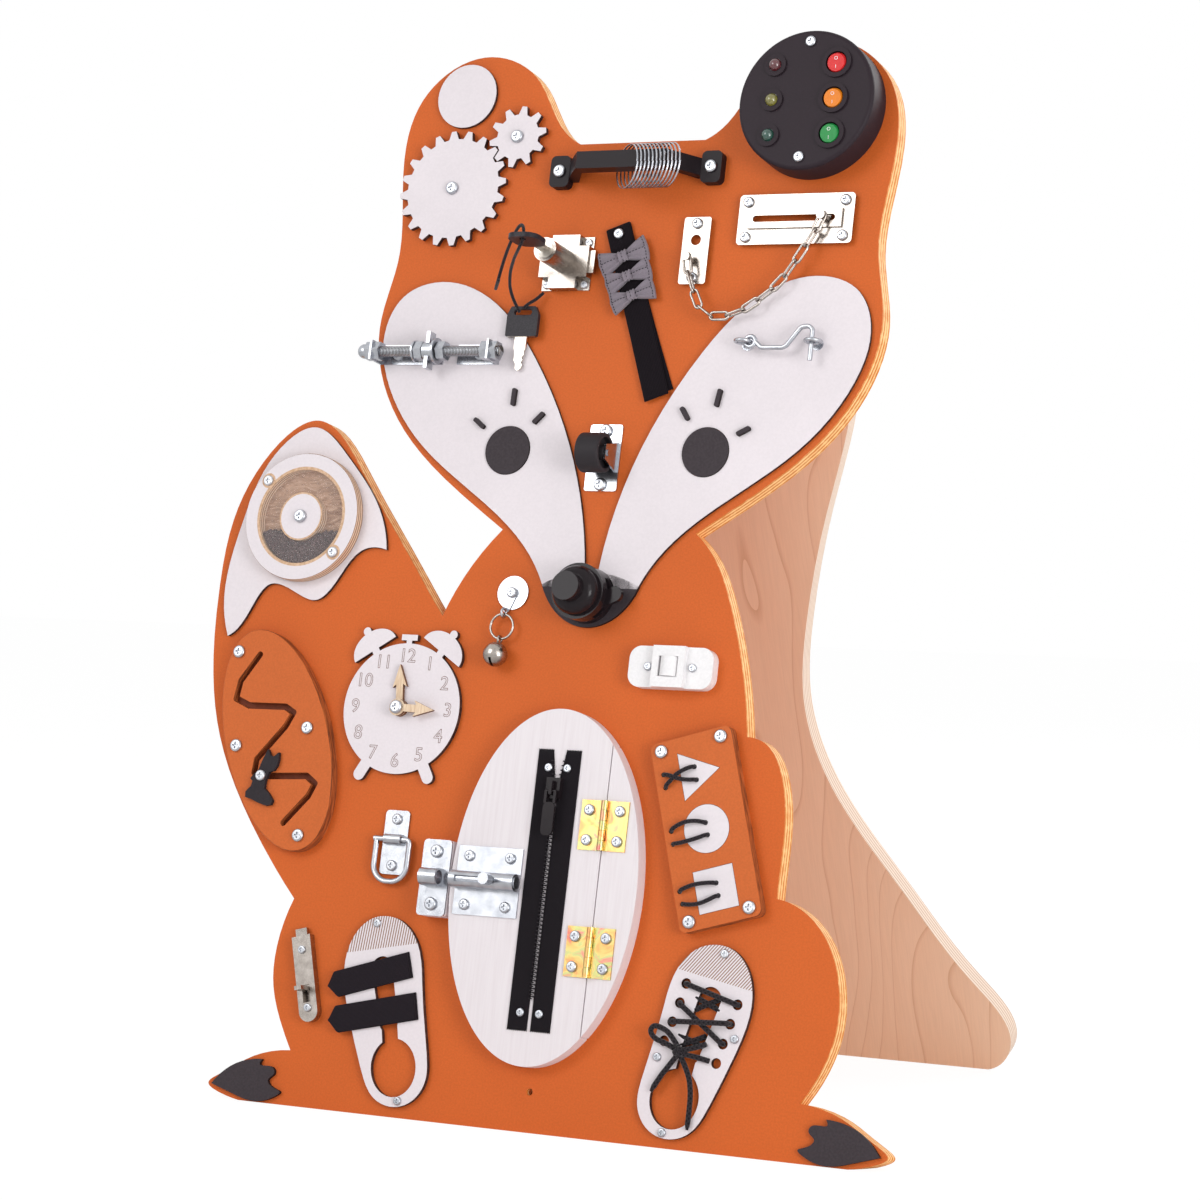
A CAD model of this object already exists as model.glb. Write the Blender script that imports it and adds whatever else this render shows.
"""Looks of the fox busy board: finishes, cords, ribbons and small details on its fixed frame.

Places on the board are given in millimetres: x across it, y up its slope, z out of its face.
Everything that Blender holds is in metres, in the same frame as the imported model. Angles are in
degrees, except the board's and the stand's leans, which are in radians.
"""

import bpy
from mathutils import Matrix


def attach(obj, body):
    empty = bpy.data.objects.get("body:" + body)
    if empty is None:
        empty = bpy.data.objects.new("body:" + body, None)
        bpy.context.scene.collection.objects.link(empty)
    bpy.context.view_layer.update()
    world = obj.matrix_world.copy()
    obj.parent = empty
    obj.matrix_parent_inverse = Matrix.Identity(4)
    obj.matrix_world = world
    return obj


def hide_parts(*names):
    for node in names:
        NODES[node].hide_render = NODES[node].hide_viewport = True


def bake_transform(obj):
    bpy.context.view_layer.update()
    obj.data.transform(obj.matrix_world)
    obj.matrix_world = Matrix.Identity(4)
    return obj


bl_info = {
    "name": "Fox Busy Board",
    "version": (1, 0, 0),
    "blender": (4, 5, 0),
    "location": "View3D > Sidebar > Busy Board",
    "description": "Finishes, cords and soft parts of a fox-shaped busy board",
    "category": "Object",
}

from math import atan2, cos, hypot, pi, radians, sin, sqrt

import bmesh
import bpy
from mathutils import Matrix, Vector

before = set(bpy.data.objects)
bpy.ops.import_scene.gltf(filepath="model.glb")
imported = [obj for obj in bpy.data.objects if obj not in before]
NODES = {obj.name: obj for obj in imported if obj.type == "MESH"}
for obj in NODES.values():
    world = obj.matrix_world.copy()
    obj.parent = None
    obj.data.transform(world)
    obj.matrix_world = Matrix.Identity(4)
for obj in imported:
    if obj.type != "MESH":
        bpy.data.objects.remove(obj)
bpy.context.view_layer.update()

# ------------------------------------------------------------ places, in millimetres
MM = 0.001
BOARD_THICKNESS = 15.0
LEAN = radians(13.0)
STAND_LEAN = radians(19.9)
FOOT_MIDDLE = BOARD_THICKNESS / cos(LEAN) / 2
BOARD_NORMAL = (0.0, -cos(LEAN), sin(LEAN))
STAND_NORMAL = (0.0, -cos(STAND_LEAN), -sin(STAND_LEAN))
STRAP_TOP = (-10.8, 661.2)
STRAP_ANGLE = 20.0
SHAPE_CENTRE = (114.3, 221.0)
SHAPE_TILT = 16.7
SHOE_RIGHT = (108.3, 31.1)
SHOE_LEFT = (-110.3, 32.0)
SHOE_TILT = 10.8
CLOCK_CENTRE = (-142.4, 295.4)
DRUM_CENTRE = (-244.5, 436.3)
DRUM_KNOBS = 42.0
DRUM_KNOB_ANGLE = 140.0
DOOR_SPLIT_X = 37.6
ROD_Y = 563.5
ROD_Z = 15.0
ZIP_X = -3.1
RING_START = (38.0, 698.41, 27.0)
RING_PITCH = 3.086
RING_TILT = 38.0
RING_RADIUS = 16.45
RING_WIRE = 0.45
LACE_OVER = 6.5
LACE_UNDER_Z = 2.2
LACE_KNOT = (112.3, 66.4, 8.5)
# the lace: holes from the shoe's centre; each rung has two holes and how much higher it lies
LACE_HOLES = ((-13.5, 81.5), (-14.2, 67.6), (-15.8, 53.5), (-17.8, 39.4), (28.0, 77.8), (26.6, 63.7),
              (25.4, 49.3), (24.6, 35.3))
LACE_RUNGS = ((0, 4, 0.0), (1, 6, 0.0), (2, 5, 4.2))
LACE_LOOP = ((108.9, 68.2, 7.8), (100.5, 72.0, 8.4), (93.5, 73.5, 8.6), (88.6, 78.4, 8.6), (91.0, 83.2, 8.6),
             (98.5, 81.6, 8.8), (105.0, 78.0, 9.4), (110.6, 71.0, 9.6))
LACE_TAILS = (((110.4, 63.6, 7.2), (104.0, 55.0, 6.6), (98.5, 47.5, 6.3), (93.2, 37.8, 6.2)),
              ((113.6, 63.2, 7.2), (120.5, 52.5, 6.6), (123.5, 40.0, 6.4), (123.8, 26.0, 6.3),
               (123.5, 14.0, 6.2)))
LACE_SHORT = (((115.0, 67.8, 8.2), (124.0, 70.2, 7.4), (131.5, 73.4, 7.0)),
              ((115.2, 65.2, 7.4), (126.0, 64.0, 6.6), (134.5, 62.2, 6.4)))
LACE_UNDER = (((118.5, 96.5, 2.2), (128.0, 101.0, 2.6), (137.5, 105.5, 2.2)),
              ((118.5, 105.0, 2.2), (128.0, 101.0, 3.4), (137.5, 97.0, 2.2)),
              ((108.5, 70.5, 2.2), (118.5, 74.5, 2.6), (128.5, 79.0, 2.2)),
              ((108.5, 78.5, 2.2), (118.5, 74.5, 3.4), (128.5, 71.0, 2.2)))
# the cords of the triangle, the circle and the square, from the shape board's centre
SHAPE_ROUTES = (
    ((-24.5, 45.0, 5.0), (-24.5, 45.0, 11.6), (-19.0, 43.0, 11.9), (-13.0, 39.0, 12.0), (-5.5, 36.3, 11.9),
     (-0.5, 35.5, 11.6), (-0.5, 35.5, 6.5)),
    ((-24.5, 35.5, 5.0), (-24.5, 35.5, 11.6), (-19.0, 39.0, 11.9), (-13.0, 43.0, 12.0), (-5.5, 44.7, 11.9),
     (-0.5, 45.0, 11.6), (-0.5, 45.0, 6.5)),
    ((-25.6, 4.2, 5.0), (-25.6, 4.2, 11.6), (-20.0, 6.6, 11.9), (-12.5, 8.0, 12.0), (-4.5, 6.6, 11.9),
     (1.0, 4.3, 11.6), (1.0, 4.3, 6.5)),
    ((-25.8, -5.1, 5.0), (-25.8, -5.1, 11.6), (-20.0, -5.9, 11.9), (-12.5, -5.8, 12.0), (-4.5, -5.4, 11.9),
     (1.0, -4.5, 11.6), (1.0, -4.5, 6.5)),
    ((-26.5, -38.8, 5.0), (-26.5, -38.8, 11.6), (-20.0, -37.4, 11.9), (-13.0, -36.8, 12.0),
     (-4.5, -37.8, 11.9), (1.5, -39.0, 11.6), (1.5, -39.0, 6.5)),
    ((-26.0, -47.8, 5.0), (-26.0, -47.8, 11.6), (-20.0, -50.0, 11.9), (-12.5, -51.0, 12.0),
     (-4.5, -49.6, 11.9), (1.5, -48.0, 11.6), (1.5, -48.0, 6.5)),
)
KEY_TIED = ((-65.0, 610.5, 4.6), (-69.5, 605.0, 6.0), (-74.0, 601.5, 8.7), (-78.0, 597.5, 9.1))
KEY_LOOP = ((-79.6, 594.0, 11.2), (-83.0, 604.0, 22.0), (-77.0, 615.0, 38.0), (-66.0, 622.0, 54.0),
            (-56.0, 625.0, 67.0), (-51.0, 630.0, 71.5), (-50.7, 639.0, 71.5), (-57.0, 645.0, 66.0),
            (-70.0, 640.0, 52.0), (-84.0, 628.0, 36.0), (-94.0, 613.0, 24.0), (-92.0, 604.0, 30.0),
            (-82.0, 609.0, 44.0))
NUMBER_RING = 39.0
NUMBER_HEIGHT = 10.4
NUMBER_LINE = 0.2
CLOCK_FACE_Z = 4.0
ROCKER_X = 159.8
ROCKER_PIVOT_Z = 23.0
ROCKER_TILT = 8.0
ROCKER_FACE = 4.46
ROCKER_MARK_HEIGHT = 2.6
ROCKER_MARK_REACH = 3.0

# ------------------------------------------------------------ where finishes change, in millimetres
BOARD_PLY = 4.2
BIRCH_PLY = 2.9
DRUM_PLY = 2.6
TOE_LINE_PITCH = 2.1
TOE_REACH = 125.0
# each toe: its shoe's centre and tilt, its lines' slant, and where they start up the sole
SHOE_TOES = ((SHOE_RIGHT, -SHOE_TILT, 0.55, 89.5), (SHOE_LEFT, SHOE_TILT, 0.28, 90.5))
PLAY_FLOOR = 8.6
DRUM_FLOOR = 7.5
DRUM_OUTER_RIM = (35.0, 38.3)
DRUM_INNER_RIM = (17.2, 19.0)
DRUM_EAR = 5.8
DRUM_SCREW = 4.3
DRUM_SCREW_SEAT = 12.55
ROD_REACH = 4.12
ROD_END_X = -80.0
ROD_THREAD = 1.25
HINGE_LEAF_TOP = 13.3
HINGE_KNUCKLE = 3.6
DOOR_HINGE_X = 15.0
DOOR_KNUCKLE_X = 34.0
LENS_LOW = 732.0
LENS_HIGH = 758.0
CAT_TOP = 12.35
LOCK_KEY_BOW_Z = 51.5
SPARE_KEY_BOW_Y = 576.5
# a surface counts as a face, not a side, where its normal is at least this much along the direction
FACE_SHARE = 0.75

# ------------------------------------------------------------ soft and repeated parts, in millimetres
# a cord's rings lie this share of its radius apart, and its end tapers over this many radii
TUBE_STEP = 0.3
TAPER_REACH = 2.2
RIBBON_TOP = 1.6
RIBBON_BACK_END = 135.5
RIBBON_FRONT_END = 138.5
RIBBON_BACK_Z = 1.0
RIBBON_FOLD = 1.15
RIBBON_STEPS = 56
FOLD_STEPS = 8
RIBBON_STRAY = 3.4
RIBBON_FIXED = 12.0
RIBBON_FREE = 20.0
# each bow: how far down the ribbon it sits, and its scale
BOWS = ((26.0, 1.0), (42.0, 0.93), (57.5, 0.9))
BOW_TURN = 2.0
BOW_FLOOR = 4.15
WING_START = 1.6
WING_LENGTH = 18.4
WING_RINGS = 14
WING_COLUMNS = 26
KNOT_HALF = 4.3
KNOT_RISE = 2.6
KNOT_WIDTH = 6.8
KNOT_RINGS = 14
KNOT_SIDES = 28
KNOT_MIDDLE_Z = 2.7
KNOT_STITCH_Z = 2.85
STITCHED_END = 0.90
STITCH_RISE = 0.12
# each strap: its body, its node, its right and left ends, and its width
VELCRO_STRAPS = (("velcro_upper", "velcro_strap_upper", (-107.5, 109.5), (-167.3, 90.6), 19.2),
                 ("velcro_lower", "velcro_strap_lower", (-98.5, 80.5), (-163.4, 65.5), 19.9))
# each layer: its height, how far in it starts, and how much narrower it is
VELCRO_LAYERS = ((4.85, 0.0, 0.0), (6.1, 1.2, 0.7))
VELCRO_POINT = 6.5
VELCRO_THICKNESS = 1.05
VELCRO_BULGE = 0.14
VELCRO_STEPS = 60
ZIP_BOTTOM = 69.8
ZIP_TOP = 270.4
ZIP_PARTS_Y = 246.0
TAPE_NOTCH = 1.1
TAPE_INNER = 1.5
TAPE_OUTER = 16.9
TAPE_Z = 13.0
TAPE_COLUMNS = 18
TAPE_ROWS = 44
TAPE_PARTING = 0.16
TAPE_THICKNESS = 0.9
CLOSED_TEETH = ((0.0, 93.0, 13.75), (0.0, 243.0, 13.75))
PARTED_TEETH = ((2.2, 249.0, 13.6), (4.6, 262.0, 13.6))
TOOTH_LEAN = (pi / 2 - LEAN, 0.0, 0.0)
# the heap of grains, from the drum's middle: its level, reach and sector, and the slope at its edge
HEAP_LEVEL = 12.3
HEAP_INNER = 19.4
HEAP_OUTER = 35.2
HEAP_Z = 9.5
HEAP_FOOT_Z = 5.8
HEAP_FROM = -21.0
HEAP_TURN = 138.0
HEAP_STEPS = 44
HEAP_COLUMNS = 10
EDGE_INNER = 19.0
EDGE_WIDTH = 12.5
EDGE_SLOPE = 2.4
LACE_KNOT_SIZE = 4.3
LACE_ARCH = 4.3
# lettering: how high a capital is in its type size, and how far printed marks stand out
CAPITAL_SHARE = 0.72
RELIEF = 0.06
ROCKER_ROWS = (("red", 771.3), ("amber", 745.0), ("green", 718.7))
# the kind of socket that an input of a geometry tree gets from its default
SOCKETS = {float: "NodeSocketFloat", int: "NodeSocketInt", tuple: "NodeSocketVector"}

# ------------------------------------------------------------ looks, lamps and camera, in metres
# each weave: name, dark and light colour, thread pitch
WEBBINGS = (("ribbon_cloth", (10, 6, 10), (28, 21, 27), 1.5),
            ("velcro_cloth", (16, 11, 16), (44, 37, 44), 1.1),
            ("tape_cloth", (12, 9, 13), (36, 31, 36), 0.9))
# each plastic: name, colour, roughness, grain, depth of the grain, and the parts that have it
MOULDED = (("textured_black", (44, 35, 41), 0.5, 600.0, 0.12, ("lamp_housing",)),
           ("battery_black", (40, 38, 40), 0.5, 900.0, 0.05, ("battery_pack",)),
           ("rocker_red", (214, 42, 44), 0.22, 500.0, 0.02, ("rocker_red",)),
           ("rocker_amber", (228, 128, 28), 0.22, 500.0, 0.02, ("rocker_amber",)),
           ("rocker_green", (38, 140, 70), 0.22, 500.0, 0.02, ("rocker_green",)),
           ("satin_black", (28, 20, 24), 0.38, 800.0, 0.04, ("handle",)),
           ("rubber", (48, 44, 47), 0.55, 700.0, 0.08, ("caster_wheel",)),
           ("gloss_black", (34, 28, 31), 0.16, 400.0, 0.02,
            ("nose_bell", "nose_lever", "zip_slider", "zip_puller")),
           ("white_plastic", (240, 238, 239), 0.3, 500.0, 0.01, ("switch_case", "switch_button")),
           ("thread_black", (30, 27, 32), 0.7, 900.0, 0.02, ()),
           ("engraving", (126, 92, 80), 0.6, 900.0, 0.02, ()),
           ("mark_white", (238, 234, 236), 0.4, 900.0, 0.01, ()),
           ("tooth_black", (40, 36, 40), 0.35, 900.0, 0.02, ()))
FLOOR_REACH = 6.0
FLOOR_GLOW = 1.06
FLOOR_GLOW_SHARE = 0.88
WORLD_LIGHT = 0.52
BOARD_MIDDLE = (0.0, 0.1, 0.38)
# each lamp: name, place, power in watts, and width
LAMPS = (("key_lamp", (-1.3, -2.4, 1.9), 29.0, 1.5),
         ("fill_lamp", (2.2, -1.6, 1.3), 12.0, 1.4),
         ("low_lamp", (2.3, -1.3, 0.35), 24.0, 0.9),
         ("back_lamp", (1.2, 2.2, 1.6), 26.0, 1.6))
CAMERA_LENS = 98.32
CAMERA_PLACE = (1.05813, -2.03053, 0.46643)
CAMERA_RIGHT = (0.8948679, 0.44616258, 0.01226384)
CAMERA_UP = (-0.02883222, 0.03036547, 0.99912294)
CAMERA_BACK = (0.44539886, -0.89443664, 0.04003694)


def on_board(x, y, z):
    """A place on the board as a point of the scene, in metres."""
    away = -FOOT_MIDDLE + y * sin(LEAN) - z * cos(LEAN)
    up = y * cos(LEAN) + z * sin(LEAN)
    return Vector((x, away, up)) * MM


def turned(x, y, centre, angle):
    """A place given from a centre, turned about it by an angle in degrees."""
    a = radians(angle)
    return (centre[0] + x * cos(a) - y * sin(a), centre[1] + x * sin(a) + y * cos(a))


def on_strap(along, across):
    """A place on the ribbon, measured down from its top."""
    return turned(across, -along, STRAP_TOP, STRAP_ANGLE)


# ------------------------------------------------------------ node helpers
def paint(red, green, blue):
    """A display colour, 0 to 255, as the linear colour that a shader takes."""
    linear = []
    for value in (red, green, blue):
        v = value / 255
        linear.append(v / 12.92 if v <= 0.04045 else ((v + 0.055) / 1.055) ** 2.4)
    return (*linear, 1.0)


def grey(value):
    """A grey of a linear value."""
    return (value, value, value, 1.0)


def tone(colour, factor):
    """A colour made darker or lighter."""
    return (*(min(1.0, c * factor) for c in colour[:3]), 1.0)


class Signal:
    """A node's output, which takes part in sums and comparisons; & and | join masks of zero and one."""

    def __init__(self, node, out=0):
        self.node = node
        self.out = out
        self.tree = node.id_data

    def __getitem__(self, out):
        return Signal(self.node, out)

    def step(self, operation, second=0.0):
        """One arithmetic step on this signal."""
        return add(self.tree, "ShaderNodeMath", {0: self, 1: second}, operation=operation)

    def __add__(self, other):
        return self.step("ADD", other)

    def __sub__(self, other):
        return self.step("SUBTRACT", other)

    def __mul__(self, other):
        return self.step("MULTIPLY", other)

    def __gt__(self, limit):
        return self.step("GREATER_THAN", limit)

    def __lt__(self, limit):
        return self.step("LESS_THAN", limit)

    def __and__(self, other):
        return self.step("MULTIPLY", other)

    def __or__(self, other):
        return self.step("MAXIMUM", other)


def feed(socket, value):
    """Gives an input a value, or the signal that drives it."""
    if isinstance(value, Signal):
        value.tree.links.new(value.node.outputs[value.out], socket)
    else:
        socket.default_value = value


def add(tree, kind, inputs=None, out=0, **settings):
    """Adds a node with its settings and its inputs, and gives one of its outputs."""
    node = tree.nodes.new(kind)
    for name, value in settings.items():
        setattr(node, name, value)
    for name, value in (inputs or {}).items():
        feed(node.inputs[name], value)
    return Signal(node, out)


def mix(factor, first, second, blend="MIX"):
    """Two colours blended by a factor."""
    tree = next(item.tree for item in (factor, first, second) if isinstance(item, Signal))
    inputs = {0: factor, 6: first, 7: second}
    return add(tree, "ShaderNodeMix", inputs, 2, data_type="RGBA", blend_type=blend)


def tinted(colour, shade):
    """A colour multiplied by a shade."""
    return mix(1.0, colour, shade, "MULTIPLY")


def noise(place, scale, detail=3.0, roughness=0.5, distortion=0.0):
    """Cloudy variation around one half."""
    inputs = {"Vector": place, "Scale": scale, "Detail": detail, "Roughness": roughness,
              "Distortion": distortion}
    return add(place.tree, "ShaderNodeTexNoise", inputs, "Fac")


def ramp(value, *stops):
    """A colour ramp; each stop is a position and a colour."""
    made = add(value.tree, "ShaderNodeValToRGB", {"Fac": value}, "Color")
    elements = made.node.color_ramp.elements
    while len(elements) < len(stops):
        elements.new(0.5)
    for element, (position, colour) in zip(elements, stops):
        element.position = position
        element.color = colour
    return made


def fade(value, low, high, at_low=0.0, at_high=1.0):
    """Goes from one value at low to another at high."""
    inputs = {"Value": value, "From Min": low, "From Max": high, "To Min": at_low, "To Max": at_high}
    return add(value.tree, "ShaderNodeMapRange", inputs, "Result")


def mapped(place, **inputs):
    """Coordinates that are moved, turned, or stretched for grain and brushed lines."""
    return add(place.tree, "ShaderNodeMapping", {"Vector": place, **inputs})


def parts_of(place):
    """The x, y and z of a vector."""
    made = add(place.tree, "ShaderNodeSeparateXYZ", {0: place})
    return made[0], made[1], made[2]


def wave(value, period):
    """A sine along a value in metres; the period is in millimetres."""
    return (value * (2 * pi / (period * MM))).step("SINE")


def between(value, low, high):
    """One where a value in metres lies between two limits in millimetres."""
    return (value > low * MM) & (value < high * MM)


def distance_from(x, y, centre):
    """How far a place is from a centre given in millimetres, in metres."""
    dx = (x - centre[0] * MM).step("POWER", 2.0)
    dy = (y - centre[1] * MM).step("POWER", 2.0)
    return (dx + dy).step("SQRT")


class Finish:
    """A finish in the making: a material, its node tree and its shader."""

    def __init__(self, name, roughness=0.5, metallic=0.0, specular=0.16):
        self.material = bpy.data.materials.new(name)
        self.material.use_nodes = True
        self.tree = self.material.node_tree
        self.shader = self.tree.nodes["Principled BSDF"]
        self.set("Roughness", roughness)
        self.set("Metallic", metallic)
        self.set("Specular IOR Level", specular)

    def set(self, name, value):
        """Gives one of the shader's inputs its value or signal."""
        feed(self.shader.inputs[name], value)

    def own(self):
        """The piece's own coordinates in metres."""
        return add(self.tree, "ShaderNodeTexCoord", out="Object")

    def board(self):
        """Coordinates along the board: x across, y up its slope, z out of its face, in metres."""
        shift = (0.0, FOOT_MIDDLE * sin(LEAN) * MM, -FOOT_MIDDLE * cos(LEAN) * MM)
        return mapped(self.own(), Location=shift, Rotation=(LEAN - pi / 2, 0.0, 0.0))

    def panel(self):
        """Coordinates along the rear panel: x across, y up it, z out of its front."""
        return mapped(self.own(), Rotation=(-STAND_LEAN - pi / 2, 0.0, 0.0))

    def cloth(self):
        """The cloth's own coordinates in metres: along it and across it."""
        return parts_of(add(self.tree, "ShaderNodeUVMap", uv_map="UVMap"))[:2]

    def faced(self, face, edge, direction=BOARD_NORMAL):
        """One colour where the surface looks along a direction or against it, another on its sides."""
        normal = add(self.tree, "ShaderNodeTexCoord", out="Normal")
        inputs = {0: normal, 1: direction}
        dot = add(self.tree, "ShaderNodeVectorMath", inputs, "Value", operation="DOT_PRODUCT")
        return mix(dot.step("ABSOLUTE") > FACE_SHARE, edge, face)

    def done(self, colour, height, depth, strength):
        """Sets the colour, and a bump whose depth is in millimetres; gives the finished material."""
        self.set("Base Color", colour)
        inputs = {"Strength": strength, "Distance": depth * MM, "Height": height}
        self.set("Normal", add(self.tree, "ShaderNodeBump", inputs))
        return self.material


def dress(material, *nodes):
    """Gives some of the model's own parts their finish."""
    for node in nodes:
        slots = NODES[node].data.materials
        slots.clear()
        slots.append(material)


# ------------------------------------------------------------ board finishes
def varied(place, colour, amount=0.06, scale=900.0):
    """A painted colour with a fine speckle and a slow drift."""
    speckle = noise(place, scale, 2.0)
    fine = ramp(speckle, (0.35, tone(colour, 1 - amount)), (0.65, tone(colour, 1 + amount)))
    drift = ramp(noise(place, 9.0), (0.3, grey(0.93)), (0.7, grey(1.0)))
    return tinted(fine, drift)


def stained_board(settings):
    """The fox panel: orange stain on its face and a lighter routed edge with open grain."""
    look = Finish("stained_board", 0.52)
    place = look.board()
    face = varied(place, settings.board_colour, 0.05, 700.0)
    layers = wave(parts_of(place)[2], BOARD_PLY) * 0.22
    streaks = layers + noise(place, 160.0, 4.0, 0.6)
    edge = ramp(streaks, (0.38, paint(214, 128, 50)), (0.62, settings.edge_colour))
    return look.done(look.faced(face, edge), noise(place, 1400.0, 2.0), 0.05, 0.35)


def white_laminate(settings):
    """Thin plates with a white face, a burnt edge, and engraved lines on the shoes' toes."""
    look = Finish("white_laminate")
    place = look.board()
    x, y = parts_of(place)[:2]
    right_toe, left_toe = [toe_lines(x, y, *toe) for toe in SHOE_TOES]
    engraved = right_toe | left_toe
    face = mix(engraved, varied(place, settings.white_colour, 0.018, 500.0), paint(150, 112, 92))
    edge = ramp(noise(place, 300.0), (0.35, paint(44, 32, 32)), (0.7, paint(88, 64, 56)))
    dents = noise(place, 900.0) - engraved * 3.0
    return look.done(look.faced(face, edge), dents, 0.06, 0.4)


def toe_lines(x, y, centre, tilt, slant, start):
    """A mask of fine slanted lines over the toe of a shoe, from a start up its sole."""
    a = radians(-tilt)
    dx = x - centre[0] * MM
    dy = y - centre[1] * MM
    up = dx * sin(a) + dy * cos(a)
    side = dx * cos(a) - dy * sin(a)
    thin = wave(side - up * slant, TOE_LINE_PITCH) > 0.35
    near = distance_from(x, y, centre) < TOE_REACH * MM
    return thin & (up > start * MM) & near


def black_laminate():
    """Matt black plates with a dark edge."""
    look = Finish("black_laminate", 0.6)
    place = look.board()
    face = varied(place, paint(62, 55, 59), 0.10, 600.0)
    return look.done(look.faced(face, paint(34, 26, 26)), noise(place, 1100.0), 0.05, 0.4)


def painted_wood():
    """The white belly door: thin paint over pine, whose grain shows through."""
    look = Finish("painted_wood", 0.48)
    grain = noise(mapped(look.board(), Scale=(1.0, 0.04, 1.0)), 420.0, 4.0, 0.6)
    colour = ramp(grain, (0.30, paint(226, 218, 221)), (0.55, paint(231, 224, 227)),
                  (0.8, paint(234, 228, 230)))
    return look.done(colour, grain, 0.12, 0.35)


def birch_panel():
    """The rear panel: pale birch ply with tall arched figure and layered edges."""
    look = Finish("birch_panel")
    place = look.panel()
    x, y, z = parts_of(place)
    bend = noise(mapped(place, Scale=(1.0, 0.35, 1.0)), 7.0, 2.0)
    arch = (x + 0.02).step("POWER", 2.0) * 18.0
    year_rings = ((arch + bend * 1.5 - y) * 7.5).step("FRACT")
    figure = ramp(year_rings, (0.0, paint(224, 180, 146)), (0.035, paint(232, 190, 158)),
                  (0.09, paint(241, 203, 172)), (1.0, paint(243, 207, 177)))
    pores = noise(mapped(place, Scale=(1.0, 0.03, 1.0)), 900.0, 3.0, 0.65)
    shade = ramp(pores, (0.35, (0.96, 0.955, 0.95, 1)), (0.65, grey(1.01)))
    plies = wave(z, BIRCH_PLY) * 0.5 + 0.5
    edge = ramp(plies, (0.12, paint(206, 174, 150)), (0.4, paint(240, 220, 203)))
    wood = look.faced(tinted(figure, shade), edge, STAND_NORMAL)
    return look.done(wood, pores, 0.08, 0.35)


def play_board():
    """The thick orange play plates, with burnt edges and dark grooves and pockets."""
    look = Finish("play_board")
    place = look.board()
    top = varied(place, paint(205, 104, 50), 0.05, 700.0)
    floor = varied(place, paint(120, 58, 34), 0.12, 300.0)
    face = mix(parts_of(place)[2] > PLAY_FLOOR * MM, floor, top)
    layers = noise(mapped(place, Scale=(0.25, 0.25, 3.0)), 300.0)
    edge = ramp(layers, (0.4, paint(120, 66, 40)), (0.65, paint(196, 108, 58)))
    return look.done(look.faced(face, edge), noise(place, 1300.0), 0.05, 0.35)


def pale_wood():
    """Bare light wood of the clock's hands, with a burnt edge."""
    look = Finish("pale_wood", 0.55)
    grain = noise(mapped(look.board(), Scale=(1.0, 0.15, 1.0)), 700.0)
    face = ramp(grain, (0.35, paint(216, 186, 154)), (0.65, paint(236, 212, 184)))
    return look.done(look.faced(face, paint(112, 74, 52)), grain, 0.05, 0.3)


def drum_wood(settings):
    """The rain drum: white top, bare rims round its chamber, layered sides and a brown floor."""
    look = Finish("drum_wood")
    place = look.board()
    x, y, z = parts_of(place)
    reach = distance_from(x, y, DRUM_CENTRE)
    knobs = [turned(side * DRUM_KNOBS, 0, DRUM_CENTRE, DRUM_KNOB_ANGLE) for side in (1, -1)]
    first, second = [distance_from(x, y, knob) for knob in knobs]
    by_knob = first.step("MINIMUM", second)
    white = varied(place, settings.white_colour, 0.018, 500.0)
    bare = ramp(noise(place, 400.0), (0.35, paint(196, 158, 126)), (0.65, paint(222, 188, 158)))
    rims = between(reach, *DRUM_OUTER_RIM) | between(reach, *DRUM_INNER_RIM)
    top = mix(rims | (by_knob < DRUM_EAR * MM), white, bare)
    streaks = noise(mapped(place, Scale=(0.35, 1.0, 1.0)), 260.0, 5.0, 0.65, 1.4)
    brown = ramp(streaks, (0.3, paint(134, 98, 76)), (0.5, paint(176, 138, 112)),
                 (0.7, paint(204, 170, 146)))
    face = mix(z > DRUM_FLOOR * MM, brown, top)
    side = ramp(wave(z, DRUM_PLY) * 0.5 + 0.5, (0.25, paint(150, 112, 88)), (0.6, paint(226, 198, 172)))
    screw = (z > DRUM_SCREW_SEAT * MM) & (by_knob < DRUM_SCREW * MM)
    look.set("Metallic", screw)
    colour = mix(screw, look.faced(face, side), paint(205, 207, 212))
    return look.done(colour, noise(place, 900.0), 0.05, 0.3)


# ------------------------------------------------------------ metal finishes
def plated_metal(name, light, dark, roughness):
    """Plated steel with faint clouding and hairline marks."""
    look = Finish(name, roughness, 1.0)
    place = look.own()
    clouds = noise(place, 140.0, 4.0, 0.6)
    marks = noise(mapped(place, Scale=(1.0, 1.0, 6.0)), 900.0, 2.0)
    look.set("Roughness", fade(marks, 0.0, 1.0, roughness - 0.08, roughness + 0.12))
    return look.done(ramp(clouds, (0.3, dark), (0.7, light)), marks, 0.02, 0.2)


def zinc_with_thread():
    """Bright zinc; where it runs along the rod it carries a screw thread."""
    look = Finish("zinc_with_thread", 0.26, 1.0)
    place = look.board()
    x, y, z = parts_of(place)
    clouds = noise(place, 130.0, 4.0, 0.6)
    plain = ramp(clouds, (0.3, paint(168, 171, 178)), (0.7, paint(200, 202, 207)))
    on_rod = (distance_from(y, z, (ROD_Y, ROD_Z)) < ROD_REACH * MM) & (x < ROD_END_X * MM)
    around = (z - ROD_Z * MM).step("ARCTAN2", y - ROD_Y * MM)
    helix = (x * (2 * pi / (ROD_THREAD * MM)) + around).step("SINE")
    dark = on_rod & (helix < -0.2)
    height = helix * on_rod + noise(place, 700.0) * 0.08
    return look.done(mix(dark, plain, paint(96, 92, 88)), height, 0.25, 0.7)


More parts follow.
